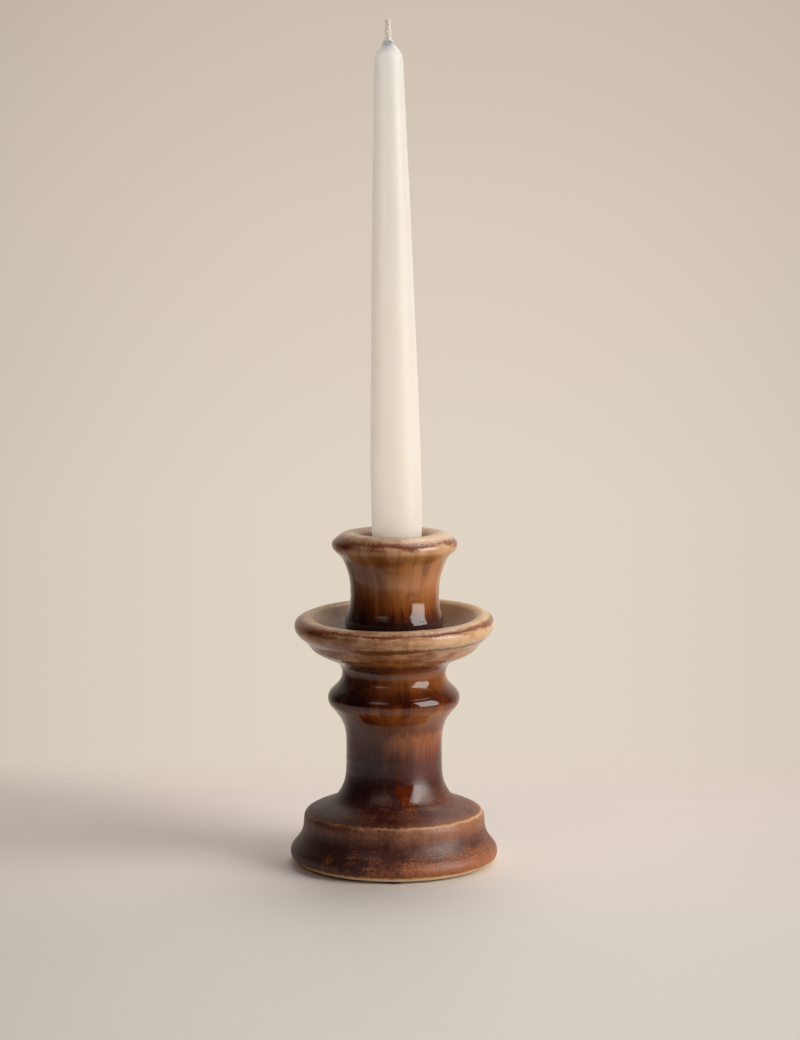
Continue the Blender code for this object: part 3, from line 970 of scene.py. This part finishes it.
def softbox(name, azimuth, elevation, distance, width, height, radiance, colour, softness):
    """A rectangular lamp that faces the candlestick.

    Azimuth is measured in degrees to the right of the camera's side, the lamp's centre has the radiance, and
    softness is the share of its face over which each edge fades.
    """
    light = bpy.data.lights.new(name, "AREA")
    light.shape = "RECTANGLE"
    light.size, light.size_y = width, height
    light.energy = radiance * math.pi * width * height
    light.color = colour
    nodes = Nodes(light)
    u, v, _ = nodes.split(nodes.node("NewGeometry", output="Parametric"))
    edges = [nodes.between(nodes.math("PINGPONG", across, 0.5), 0.0, softness) for across in (u, v)]
    nodes.put(nodes.tree.nodes["Emission"].inputs["Strength"], nodes.times(*edges))
    lamp = bpy.data.objects.new(name, light)
    a, e = math.radians(azimuth), math.radians(elevation)
    away = Vector((math.sin(a) * math.cos(e), -math.cos(a) * math.cos(e), math.sin(e)))
    lamp.location = LIT_POINT + away * distance
    lamp.rotation_euler = (-away).to_track_quat("-Z", "Y").to_euler()
    lamp.visible_camera = False
    bpy.context.scene.collection.objects.link(lamp)
    return lamp


def make_lights():
    """A tall window on the right, a weak one on the left, and a soft light above and behind."""
    softbox(
        "window", azimuth=65, elevation=22, distance=2.3, width=1.8, height=2.25,
        radiance=6.0, colour=(1.0, 0.965, 0.92), softness=0.14,
    )
    softbox(
        "far_window", azimuth=-32, elevation=42, distance=2.4, width=1.7, height=1.5,
        radiance=1.6, colour=(1.0, 0.87, 0.83), softness=0.45,
    )
    softbox(
        "overhead", azimuth=160, elevation=64, distance=2.0, width=1.8, height=1.6,
        radiance=2.9, colour=(1.0, 0.97, 0.95), softness=0.2,
    )


def make_candle_light(*pieces):
    """A broad fill from the left that only the candle receives, so that the wax glows softly all round."""
    fill = softbox(
        "candle_fill", azimuth=-48, elevation=12, distance=2.2, width=2.4, height=2.4,
        radiance=3.5, colour=(1.0, 0.95, 0.9), softness=0.3,
    )
    lit = bpy.data.collections.new("candle_only")
    for piece in pieces:
        lit.objects.link(piece)
    fill.light_linking.receiver_collection = lit


def make_camera():
    data = bpy.data.cameras.new("camera")
    data.lens = CAMERA_LENS
    data.sensor_width = CAMERA_SENSOR
    camera = bpy.data.objects.new("camera", data)
    camera.location = (CAMERA_ASIDE, -CAMERA_DISTANCE, CAMERA_HEIGHT)
    camera.rotation_euler = (math.radians(90) - CAMERA_PITCH, 0, 0)
    bpy.context.scene.collection.objects.link(camera)
    bpy.context.scene.camera = camera


# ======== Assembly ========


def dress(piece, material, body, slot, *nodes):
    """Gives a piece its material and the body it rides on, and hides the CAD nodes it stands for; its slot is
    not used.
    """
    piece.data.materials.clear()
    piece.data.materials.append(material)
    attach(piece, body)
    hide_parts(*nodes)


def main():
    bpy.context.scene.view_settings.view_transform = "Standard"
    make_camera()
    make_world()
    make_floor()
    make_lights()
    body, marks = make_body()
    dress(body, glaze(marks), "holder", "reactive_glaze", "stoneware_body")
    foot, direction, length = candle_axis()
    wax, wax_top = make_candle(foot, direction)
    dress(wax, wax_material(), "candle", "ivory_wax", "candle_wax")
    wick = make_wick(foot, direction, wax_top, length)
    dress(wick, cotton_material(), "candle", "cotton_wick", "candle_wick")
    make_candle_light(wax, wick)
    felt = felt_material()
    for number in range(1, 5):
        dress(make_pad(number), felt, "holder", "brown_felt", f"felt_pad_{number}")


main()
